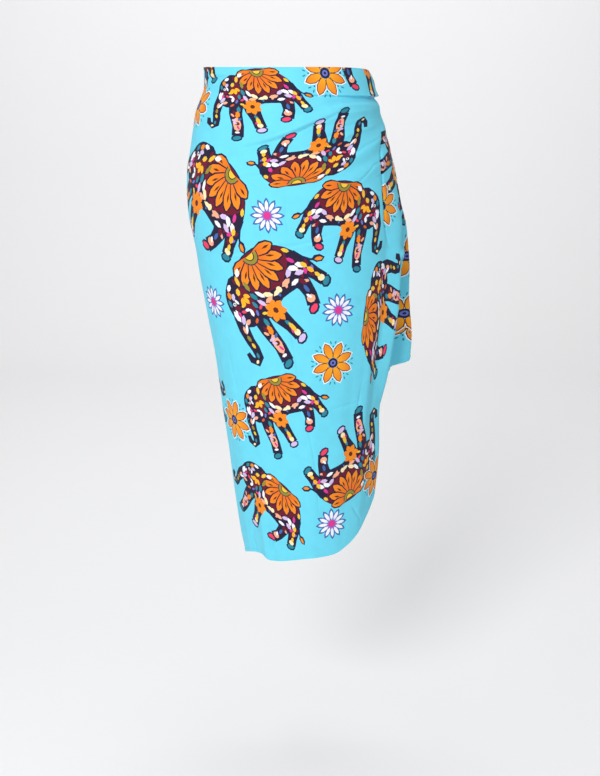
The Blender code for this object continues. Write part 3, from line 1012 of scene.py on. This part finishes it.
# A motif is measured along the cloth at its own drop, between these drops, in steps of this wind. No
# step counts as longer than this, so that the deepest folds don't narrow a motif.
LENGTH_DROPS = (0.02, 0.74)
LENGTH_WIND = 0.5
LENGTH_MOST = 0.0035
LENGTH_BEYOND = 60


def cloth_lengths(drop):
    """Lengths along the cloth at a drop, for a run of winds."""
    winds = np.arange(WIND_START - LENGTH_BEYOND, WIND_END + LENGTH_BEYOND, LENGTH_WIND)
    level = np.full_like(winds, min(max(drop, LENGTH_DROPS[0]), LENGTH_DROPS[1]))
    steps = np.linalg.norm(np.diff(smooth_point(winds, level), axis=0), axis=1)
    return winds, np.concatenate([[0], np.cumsum(np.minimum(steps, LENGTH_MOST))])


# How far apart the cloth's points are, for each stretch of wind: above YOKE_DROP and below it.
SPACING_COLUMNS = ("from_wind", "to_wind", "yoke", "skirt", "reverse")
SPACINGS = (
    (WIND_START, 170.0, 0.0180, 0.0180, 0.0240),
    (170.0, 212.0, 0.0120, 0.0120, 0.0200),
    (212.0, 335.0, 0.0094, 0.0096, 0.0160),
    (335.0, 400.0, 0.0060, 0.0074, 0.0130),
    (400.0, 498.0, 0.0052, 0.0068, 0.0110),
    (498.0, 534.0, 0.0041, 0.0046, 0.0060),
    (534.0, WIND_END, 0.0040, 0.0038, 0.0038),
)
YOKE_DROP = 0.245

# The spacing along the outline and along its hidden start, and how far inner points keep from it.
EDGE_SPACING = 0.0040
START_SPACING = 0.010
EDGE_MARGIN = 0.0022

# Lines of points that follow the waist's ledge, each crease and both sides of the hem's step.
LEDGE_WINDS = (446.0, WIND_END - 0.6, 1.5)
LEDGE_SHIFTS = (-0.0026, -0.0012, 0.0, 0.0011, 0.0024)
CREASE_PITCH = 0.0032
CREASE_SHARES = (-1.6, -0.75, 0.0, 0.75, 1.6)
CREASE_MARGIN = 0.0010
HEM_PITCH = 0.0052
HEM_LINES = (HEM_WIDTH - 0.0007, HEM_WIDTH + 0.0007)

# How finely the hem is followed, and how far its lines keep from the ends and from the waist's edge.
HEM_SAMPLE_WIND = 0.25
HEM_SAMPLE_DROP = 0.0006
HEM_FROM_START = 2
HEM_FROM_TOP = 0.003

# Rows of points lie this share of a step apart, and the first this share from their band's top.
ROW_STEP = 0.87
ROW_START = 0.4
LOWEST = 0.8


def domain_edge():
    """The cloth's outline in winds and drops, as one closed line."""
    step = EDGE_SPACING / METRES_PER_DEGREE
    winds = np.concatenate([np.arange(WIND_START, WIND_END - step / 2, step), [WIND_END]])
    end_top, end_hem = float(cloth_top(WIND_END)), float(cloth_hem(WIND_END))
    start_top, start_hem = float(cloth_top(WIND_START)), float(cloth_hem(WIND_START))
    end_drops = np.arange(end_top + EDGE_SPACING, end_hem, EDGE_SPACING)[:-1]
    start_drops = np.arange(start_top + START_SPACING, start_hem, START_SPACING)[:-1]
    top = np.stack([winds, cloth_top(winds)], axis=1)
    end = np.stack([np.full_like(end_drops, WIND_END), end_drops], axis=1)
    hem = np.stack([winds, cloth_hem(winds)], axis=1)[::-1]
    start = np.stack([np.full_like(start_drops, WIND_START), start_drops], axis=1)[::-1]
    return np.concatenate([top, end, hem, start])


def inner_points(scale, is_reverse):
    """Staggered rows of points over the cloth, closer over the gathers and the fall."""
    found = []
    for low, high, yoke, skirt, reverse in SPACINGS:
        if is_reverse:
            yoke = skirt = reverse
        for band_low, band_high, step in ((0.0, YOKE_DROP, yoke * scale), (YOKE_DROP, LOWEST, skirt * scale)):
            drops = np.arange(band_low + step * ROW_START, band_high, step * ROW_STEP)
            for row, drop in enumerate(drops):
                across = step / METRES_PER_DEGREE
                winds = np.arange(low + across * (0.25 + 0.5 * (row % 2)), high, across)
                found.append(np.stack([winds, np.full_like(winds, drop)], axis=1))
    points = np.concatenate(found)
    inside = points[:, 1] > cloth_top(points[:, 0]) + EDGE_MARGIN
    inside &= points[:, 1] < cloth_hem(points[:, 0]) - EDGE_MARGIN
    return points[inside]


def ledge_lines():
    """Lines of points that follow the waist's ledge, where the cloth turns under."""
    winds = np.arange(*LEDGE_WINDS)
    bottom = ledge_bottom(winds - 360)
    return [np.stack([winds, bottom + shift], axis=1) for shift in LEDGE_SHIFTS]


def hem_places(from_edge, pitch):
    """Places along the lower edge and up the end edge, at a distance in from them."""
    winds = np.arange(WIND_START + 0.5, WIND_END, HEM_SAMPLE_WIND)
    edge = flat(winds, cloth_hem(winds))
    end_drops = np.arange(float(cloth_hem(WIND_END)), float(cloth_top(WIND_END)) + 0.004, -HEM_SAMPLE_DROP)
    edge = np.concatenate([edge, flat(np.full_like(end_drops, WIND_END), end_drops)])
    along = lengths_along(edge)
    middle = resampled(edge, along, np.arange(pitch, along[-1], pitch))
    heading = headings(middle)
    found = middle - leftward(heading) * from_edge
    winds, drops = unflat(found)
    keep = (from_hem(winds, drops) > from_edge * 0.8) & (winds > WIND_START + HEM_FROM_START)
    keep &= drops > cloth_top(winds) + HEM_FROM_TOP
    return found[keep], heading[keep]


def hem_lines():
    """Points along both sides of the hem's step."""
    lines = [unflat(hem_places(from_edge, HEM_PITCH)[0]) for from_edge in HEM_LINES]
    return np.concatenate([np.stack(line, axis=1) for line in lines])


def crease_lines():
    """Lines of points beside and along each crease, so that the triangles follow it."""
    lines = []
    for height, half_width, path in PATHS:
        starts = lengths_along(path)
        spots = np.linspace(0, starts[-1], max(3, int(starts[-1] / CREASE_PITCH)))
        middle = resampled(path, starts, spots)
        side = leftward(headings(middle))
        for share in CREASE_SHARES:
            winds, drops = unflat(middle + side * half_width * share)
            inside = drops > cloth_top(winds) + CREASE_MARGIN
            inside &= drops < cloth_hem(winds) - CREASE_MARGIN
            inside &= winds < WIND_END - 0.5
            lines.append(np.stack([winds[inside], drops[inside]], axis=1))
    return lines


def counterclockwise(shape, first):
    """The numbers of a shape's points, counted from first, with its inside on their left."""
    x, y = shape[:, 0], shape[:, 1]
    area = np.sum(x * np.roll(y, -1) - np.roll(x, -1) * y)
    numbers = list(range(first, first + len(shape)))
    return numbers if area > 0 else numbers[::-1]


def triangulate(edge, points, lines, shapes):
    """Cut the cloth into triangles that follow its outline, the lines and every shape's edge."""
    flats = [flat(edge[:, 0], edge[:, 1]), flat(points[:, 0], points[:, 1])]
    count = len(edge) + len(points)
    segments = []
    for line in lines:
        segments += [(count + k, count + k + 1) for k in range(len(line) - 1)]
        flats.append(flat(line[:, 0], line[:, 1]))
        count += len(line)
    faces = [counterclockwise(edge, 0)]
    for shape in shapes:
        faces.append(counterclockwise(shape, count))
        flats.append(flat(shape[:, 0], shape[:, 1]))
        count += len(shape)
    given = [Vector(point) for point in np.concatenate(flats)]
    found = delaunay_2d_cdt(given, segments, faces, 0, 1e-6, True)
    places = np.array([tuple(place) for place in found[0]])
    kept = [(tri, owners) for tri, owners in zip(found[2], found[5]) if 0 in owners]
    triangles = np.array([tri for tri, owners in kept])
    corners = places[triangles]
    one, two = corners[:, 1] - corners[:, 0], corners[:, 2] - corners[:, 0]
    backwards = one[:, 0] * two[:, 1] - one[:, 1] * two[:, 0] < 0
    triangles[backwards] = triangles[backwards][:, ::-1]
    used, triangles = np.unique(triangles, return_inverse=True)
    return places[used], triangles.reshape(-1, 3), [owners for tri, owners in kept]


def border(triangles):
    """The triangles' outer edge as one ring of points, in the triangles' own direction."""
    edges = np.concatenate([triangles[:, [0, 1]], triangles[:, [1, 2]], triangles[:, [2, 0]]])
    edges = {(int(a), int(b)) for a, b in edges}
    following = {a: b for a, b in edges if (b, a) not in edges}
    ring = [next(iter(following))]
    while following[ring[-1]] != ring[0]:
        ring.append(following[ring[-1]])
    return ring


# Only the boldest shapes are printed before this wind, where the cloth lies hidden.
HIDDEN_BEFORE = 200.0


def lay_motifs():
    """Every patch of the print on the cloth, from the lowest to the topmost."""
    drawings = {"elephant": elephant(), "orange_flower": orange_flower(), "daisy": daisy()}
    places = [("elephant", *place) for place in ELEPHANTS]
    flowers = list(HIDDEN_FLOWERS)
    for motif, photo_x, photo_y, slant, within in SEEN_FLOWERS:
        flowers.append((motif, *cloth_at(photo_x, photo_y), slant, within))
    for *place, within in flowers:
        places.append((*place, 1.0, 1.0, 0.0, False, within))
    patches = []
    for motif, wind, drop, slant, long, tall, sheared, mirrored, within in places:
        winds, along = cloth_lengths(drop)
        side = -1 if mirrored else 1
        stretch = np.array([[long * side, 0], [sheared, tall]])
        for patch in drawings[motif]:
            if (wind < HIDDEN_BEFORE and not patch.bold) or (wind < WIND_SEAM and patch.is_filling):
                continue
            shape = turned(np.concatenate([patch.points, [patch.centre]]) @ stretch, slant) * MILLIMETRE
            across = np.interp(np.interp(wind, winds, along) + shape[:, 0], along, winds)
            shape = np.stack([across, drop - shape[:, 1]], axis=1)
            reach = patch.reach * MILLIMETRE
            placed = Patch(shape[:-1], patch.near, patch.far, shape[-1], reach, patch.bold)
            placed.within = within
            patches.append(placed)
    return patches


# The regions that end a motif: where they start, end and reach up and down, all but one past the cloth.
REGION_END = WIND_END + 8
REGION_TOP = -0.02
WAIST_START = 440.0
WAIST_STEP = 4.0
WAIST_BELOW_LEDGE = 0.0008
FALL_BOTTOM = 0.70


def waist_region():
    """The stretch of cloth above the ledge, whose print ends there."""
    winds = np.arange(WAIST_START, REGION_END, WAIST_STEP)
    bottom = np.stack([winds, ledge_bottom(winds - 360) + WAIST_BELOW_LEDGE], axis=1)
    return np.concatenate([np.array([(REGION_END, REGION_TOP), (WAIST_START, REGION_TOP)]), bottom])


def fall_region():
    """The fall beyond the fold that cuts the print."""
    edge = np.array([cloth_at(x, y) for x, y in FALL_EDGE])
    corners = [(edge[-1, 0], FALL_BOTTOM), (REGION_END, FALL_BOTTOM), (REGION_END, REGION_TOP)]
    return np.concatenate([edge, np.array(corners)])


def colour_corners(places, triangles, owners, patches):
    """Linear colours for the triangles' corners, from the topmost patch over each triangle."""
    near = np.array([ink("turquoise")] + [ink(patch.near) for patch in patches])
    far = np.array([ink("turquoise")] + [ink(patch.far) for patch in patches])
    centres = np.array([(0.0, 0.0)] + [tuple(flat(*patch.centre)) for patch in patches])
    reaches = np.array([1.0] + [patch.reach for patch in patches])
    regions = {"": 0, "waist": 1, "fall": 2}
    within = [0, 0, 0] + [regions[patch.within] for patch in patches]
    top = np.zeros(len(triangles), int)
    for row, over in enumerate(owners):
        top[row] = max((k - 2 for k in over if k > 2 and within[k] in over), default=0)
    corners = places[triangles]
    away = np.linalg.norm(corners - centres[top][:, None, :], axis=2)
    share = np.clip(away / reaches[top][:, None], 0, 1)[..., None]
    return near[top][:, None, :] * (1 - share) + far[top][:, None, :] * share


# The reverse's colours: shares of the ground's and the print's light, and of white added to them.
PALE_GROUND, PALE_WHITE = 0.72, 0.20
SOAKED_PRINT, SOAKED_GROUND, SOAKED_WHITE = 0.5, 0.3, 0.12


def show_through(places, patches):
    """The reverse's colours at points: the ground, paler, with the boldest shapes soaking through."""
    colours = np.tile(ink("turquoise") * PALE_GROUND + PALE_WHITE, (len(places), 1))
    for patch in patches:
        if not patch.bold:
            continue
        shape = flat(patch.points[:, 0], patch.points[:, 1])
        low, high = shape.min(axis=0), shape.max(axis=0)
        near = np.flatnonzero(np.all((places >= low) & (places <= high), axis=1))
        soaked = ink(patch.far) * SOAKED_PRINT + ink("turquoise") * SOAKED_GROUND + SOAKED_WHITE
        colours[near[is_inside(places[near], shape)]] = soaked
    return colours


def new_object(name, data):
    """A new object in the scene."""
    made = bpy.data.objects.new(name, data)
    bpy.context.scene.collection.objects.link(made)
    return made


# The reverse's reach as a share of its spacing.
REVERSE_REACH = 0.6
FACE_COLUMNS = ("name", "roughness", "sheen")
FACES = (("printed face", 0.80, 0.08), ("printed reverse", 0.88, 0.06))


def make_cloth():
    """The whole cloth as one closed shell: printed face, reverse and a rim between them."""
    patches = lay_motifs()
    edge = domain_edge()
    scale = 1.0
    shapes = [waist_region(), fall_region()] + [patch.points for patch in patches]
    points = np.concatenate([inner_points(scale, False), hem_lines()])
    places, triangles, owners = triangulate(edge, points, ledge_lines() + crease_lines(), shapes)
    face_colours = colour_corners(places, triangles, owners, patches)
    ring = border(triangles)

    back_edge = np.stack(unflat(places[ring]), axis=1)
    back_places, back_triangles = triangulate(back_edge, inner_points(scale, True), [], [])[:2]
    back_colours = show_through(back_places, patches)
    back_ring_spots = {tuple(np.round(place, 7)): k for k, place in enumerate(back_places)}
    back_ring = [back_ring_spots[tuple(np.round(places[k], 7))] for k in ring]

    winds, drops = unflat(places)
    outside = cloth_point(winds, drops)
    normals = cloth_normal(winds, drops)
    back_winds, back_drops = unflat(back_places)
    back_normals = cloth_normal(back_winds, back_drops)
    starts, spacings = [row[0] for row in SPACINGS], [row[-1] for row in SPACINGS]
    reach = np.interp(back_winds, starts, spacings) * REVERSE_REACH
    inside = reverse_point(back_winds, back_drops, reach)
    inside[back_ring] = cloth_point(back_winds[back_ring], back_drops[back_ring])
    inside[back_ring] -= back_normals[back_ring] * THICKNESS

    first_back = len(places)
    rim = []
    for a, b, c, d in zip(ring, ring[1:] + ring[:1], back_ring[1:] + back_ring[:1], back_ring):
        rim += [(a, b, first_back + c), (a, first_back + c, first_back + d)]
    rim_colours = np.tile(ink("turquoise"), (len(rim), 3, 1))
    points = np.concatenate([outside, inside])
    faces = np.concatenate([triangles[:, ::-1], back_triangles + first_back, np.array(rim)])
    colours = np.concatenate([face_colours[:, ::-1], back_colours[back_triangles], rim_colours])

    mesh = bpy.data.meshes.new("cloth")
    mesh.from_pydata(points.tolist(), [], faces.tolist())
    prints = mesh.color_attributes.new("print", "FLOAT_COLOR", "CORNER")
    flat_colours = np.concatenate([colours.reshape(-1, 3), np.ones((colours.size // 3, 1))], axis=1)
    prints.data.foreach_set("color", flat_colours.astype(np.float32).ravel())
    all_places = np.concatenate([places, back_places])
    maps = mesh.uv_layers.new(name="flat cloth")
    maps.data.foreach_set("uv", all_places[faces].astype(np.float32).ravel())
    mesh.shade_smooth()
    corners = points[faces[-len(rim):]]
    rim_normals = np.cross(corners[:, 1] - corners[:, 0], corners[:, 2] - corners[:, 0])
    rim_normals /= np.maximum(np.linalg.norm(rim_normals, axis=1, keepdims=True), 1e-12)
    corner_normals = np.concatenate(
        [
            normals[triangles[:, ::-1]].reshape(-1, 3),
            -back_normals[back_triangles].reshape(-1, 3),
            np.repeat(rim_normals, 3, axis=0),
        ]
    )
    mesh.normals_split_custom_set(corner_normals.tolist())
    slots = np.zeros(len(faces), np.int32)
    slots[len(triangles):len(triangles) + len(back_triangles)] = 1
    for name, roughness, sheen in FACES:
        mesh.materials.append(cloth_material(name, roughness, sheen))
    mesh.polygons.foreach_set("material_index", slots)
    return new_object("cloth", mesh)


def make_stitches():
    """The thread of the hem: one small raised stitch after another."""
    from_edge, pitch, length, half_width, rise = STITCH
    found, heading = hem_places(from_edge, pitch)
    across = leftward(heading)
    ends = [found - heading * length / 2, found + heading * length / 2]
    sides = [found - across * half_width, found + across * half_width]
    points = []
    level = [(ends[0], 0.0), (sides[0], 0.0), (ends[1], 0.0), (sides[1], 0.0)]
    for places, height in level + [(found, rise), (found, -rise)]:
        winds, drops = unflat(places)
        points.append(cloth_point(winds, drops) + cloth_normal(winds, drops) * height)
    points = np.stack(points, axis=1).reshape(-1, 3)
    faces = []
    for first in range(0, len(points), 6):
        for k in range(4):
            a, b = first + k, first + (k + 1) % 4
            faces += [(a, b, first + 4), (b, a, first + 5)]
    mesh = bpy.data.meshes.new("hem_stitches")
    mesh.from_pydata(points.tolist(), [], faces)
    mesh.materials.append(thread_material())
    return new_object("hem_stitches", mesh)


def material(name, sockets):
    """A new material, its node tree and its shader with these sockets set."""
    made = bpy.data.materials.new(name)
    made.use_nodes = True
    shader = made.node_tree.nodes["Principled BSDF"]
    for socket, value in sockets.items():
        shader.inputs[socket].default_value = value
    return made, made.node_tree, shader


def node(tree, kind, x, y, sockets=None):
    """A new node with these sockets set."""
    made = tree.nodes.new(kind)
    made.location = (x, y)
    for socket, value in (sockets or {}).items():
        made.inputs[socket].default_value = value
    return made


def join(tree, links):
    """Link nodes: each row has a node, its output, the node it feeds and that one's socket."""
    for giver, output, taker, socket in links:
        tree.links.new(giver.outputs[output], taker.inputs[socket])


CLOTH_SHINE = {"Sheen Roughness": 0.5, "Specular IOR Level": 0.25}
THREADS = {"Scale": 420.0, "Distortion": 0.6}
UNEVEN_DYE = {"Scale": 55.0, "Detail": 3.0}
DYE_RANGE = {"To Min": 0.93, "To Max": 1.07}
WEAVE_BUMP = {"Strength": 0.25, "Distance": 0.0001}
CRUMPLES = {"Scale": 26.0, "Detail": 2.5}
CRUMPLE_BUMP = {"Strength": 0.35, "Distance": 0.0022}


def cloth_material(name, roughness, sheen):
    """Woven cloth that takes its colour from the print, with a faint cross weave and soft crumples."""
    made, tree, surface = material(name, {"Roughness": roughness, "Sheen Weight": sheen, **CLOTH_SHINE})
    prints = node(tree, "ShaderNodeVertexColor", -900, 200)
    prints.layer_name = "print"
    where = node(tree, "ShaderNodeUVMap", -1300, -100)
    where.uv_map = "flat cloth"
    fading = node(tree, "ShaderNodeTexNoise", -900, 0, UNEVEN_DYE)
    fade_range = node(tree, "ShaderNodeMapRange", -700, 0, DYE_RANGE)
    faded = node(tree, "ShaderNodeVectorMath", -500, 150)
    faded.operation = "SCALE"
    threads = []
    for row, direction in enumerate("XY"):
        threads.append(node(tree, "ShaderNodeTexWave", -900, -250 - 250 * row, THREADS))
        threads[row].wave_type = "BANDS"
        threads[row].bands_direction = direction
    weave = node(tree, "ShaderNodeMath", -650, -350)
    weave.operation = "ADD"
    weave_bump = node(tree, "ShaderNodeBump", -400, -300, WEAVE_BUMP)
    crumples = node(tree, "ShaderNodeTexNoise", -900, -750, CRUMPLES)
    crumple_bump = node(tree, "ShaderNodeBump", -200, -400, CRUMPLE_BUMP)
    links = (
        (where, "UV", fading, "Vector"),
        (fading, "Fac", fade_range, "Value"),
        (prints, "Color", faded, 0),
        (fade_range, "Result", faded, "Scale"),
        (faded, "Vector", surface, "Base Color"),
        (where, "UV", threads[0], "Vector"),
        (where, "UV", threads[1], "Vector"),
        (threads[0], "Fac", weave, 0),
        (threads[1], "Fac", weave, 1),
        (weave, "Value", weave_bump, "Height"),
        (where, "UV", crumples, "Vector"),
        (crumples, "Fac", crumple_bump, "Height"),
        (weave_bump, "Normal", crumple_bump, "Normal"),
        (crumple_bump, "Normal", surface, "Normal"),
    )
    join(tree, links)
    return made


THREAD = {"Base Color": (0.16, 0.55, 0.70, 1.0), "Roughness": 0.7}
THREAD_TONES = ((0.10, 0.46, 0.62, 1.0), (0.22, 0.66, 0.80, 1.0))
THREAD_SHADES = {"Scale": 160.0}


def thread_material():
    """Sewing thread, a little paler in some places than in others."""
    made, tree, surface = material("hem thread", THREAD)
    where = node(tree, "ShaderNodeTexCoord", -900, 0)
    shades = node(tree, "ShaderNodeTexNoise", -700, 0, THREAD_SHADES)
    tones = node(tree, "ShaderNodeValToRGB", -450, 0)
    for stop, tone in zip(tones.color_ramp.elements, THREAD_TONES):
        stop.color = tone
    links = (
        (where, "Object", shades, "Vector"),
        (shades, "Fac", tones, "Fac"),
        (tones, "Color", surface, "Base Color"),
    )
    join(tree, links)
    return made


# The studio: a seamless pale floor that curves up into the backdrop, and large soft lights.
BACKDROP_BACK = 3.2
BACKDROP_FRONT = -2.6
BACKDROP_BEND = 0.7
BACKDROP_HEIGHT = 2.6
BACKDROP_HALF_WIDTH = 3.2
BACKDROP_STEPS = 16
BACKDROP_PAINT = {"Base Color": (0.90, 0.90, 0.91, 1.0), "Roughness": 0.9}
ROOM_LIGHT = {"Color": (1.0, 1.0, 1.0, 1.0), "Strength": 0.42}
SENSOR = 36.0

LIGHT_COLUMNS = ("name", "place", "aim", "width", "height", "watts")
CLOTH_MIDDLE = (0.02, 0.0, -0.40)
LIGHTS = (
    ("front softbox", (-0.9, -2.3, 0.9), CLOTH_MIDDLE, 1.0, 1.3, 56.0),
    ("right softbox", (2.2, -1.6, 0.4), CLOTH_MIDDLE, 1.2, 1.4, 6.0),
    ("overhead", (0.0, 0.3, 2.1), CLOTH_MIDDLE, 1.4, 1.0, 9.0),
    ("backdrop light", (0.0, 0.9, 1.7), (0.0, 3.2, -0.1), 2.4, 0.8, 30.0),
)


def make_stage():
    """The backdrop, the lights and the light of the room."""
    profile = [(BACKDROP_FRONT, FLOOR), (BACKDROP_BACK - BACKDROP_BEND, FLOOR)]
    for k in range(1, BACKDROP_STEPS + 1):
        angle = math.pi / 2 * k / BACKDROP_STEPS
        y = BACKDROP_BACK - BACKDROP_BEND * (1 - math.sin(angle))
        z = FLOOR + BACKDROP_BEND * (1 - math.cos(angle))
        profile.append((y, z))
    profile.append((BACKDROP_BACK, FLOOR + BACKDROP_HEIGHT))
    points = [(x, y, z) for y, z in profile for x in (-BACKDROP_HALF_WIDTH, BACKDROP_HALF_WIDTH)]
    faces = [(2 * k, 2 * k + 1, 2 * k + 3, 2 * k + 2) for k in range(len(profile) - 1)]
    mesh = bpy.data.meshes.new("backdrop")
    mesh.from_pydata(points, [], faces)
    mesh.shade_smooth()
    mesh.materials.append(material("backdrop white", BACKDROP_PAINT)[0])
    new_object("backdrop", mesh)

    for name, place, aim, width, height, watts in LIGHTS:
        lamp = bpy.data.lights.new(name, "AREA")
        lamp.shape = "RECTANGLE"
        lamp.size = width
        lamp.size_y = height
        lamp.energy = watts
        light = new_object(name, lamp)
        light.location = place
        light.rotation_euler = (Vector(aim) - Vector(place)).to_track_quat("-Z", "Y").to_euler()
    world = bpy.data.worlds.new("studio")
    world.use_nodes = True
    for socket, value in ROOM_LIGHT.items():
        world.node_tree.nodes["Background"].inputs[socket].default_value = value
    bpy.context.scene.world = world


def make_camera():
    """The photograph's camera."""
    seen = bpy.data.cameras.new("photograph")
    seen.sensor_width = SENSOR
    seen.lens = FOCAL_PIXELS * SENSOR / FRAME_HEIGHT
    seen.dof.use_dof = False
    camera = new_object("photograph", seen)
    camera.location = (CAMERA_X, -CAMERA_AWAY, 0.0)
    camera.rotation_euler = (math.pi / 2 - CAMERA_TILT, 0.0, 0.0)
    bpy.context.scene.camera = camera


PATHS = crease_paths()
cloth = make_cloth()
stitches = make_stitches()
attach(cloth, "root")
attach(stitches, "root")
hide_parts("front_wrap", "side_fall", "back_wrap")
make_stage()
make_camera()
bpy.context.scene.view_settings.view_transform = "Standard"
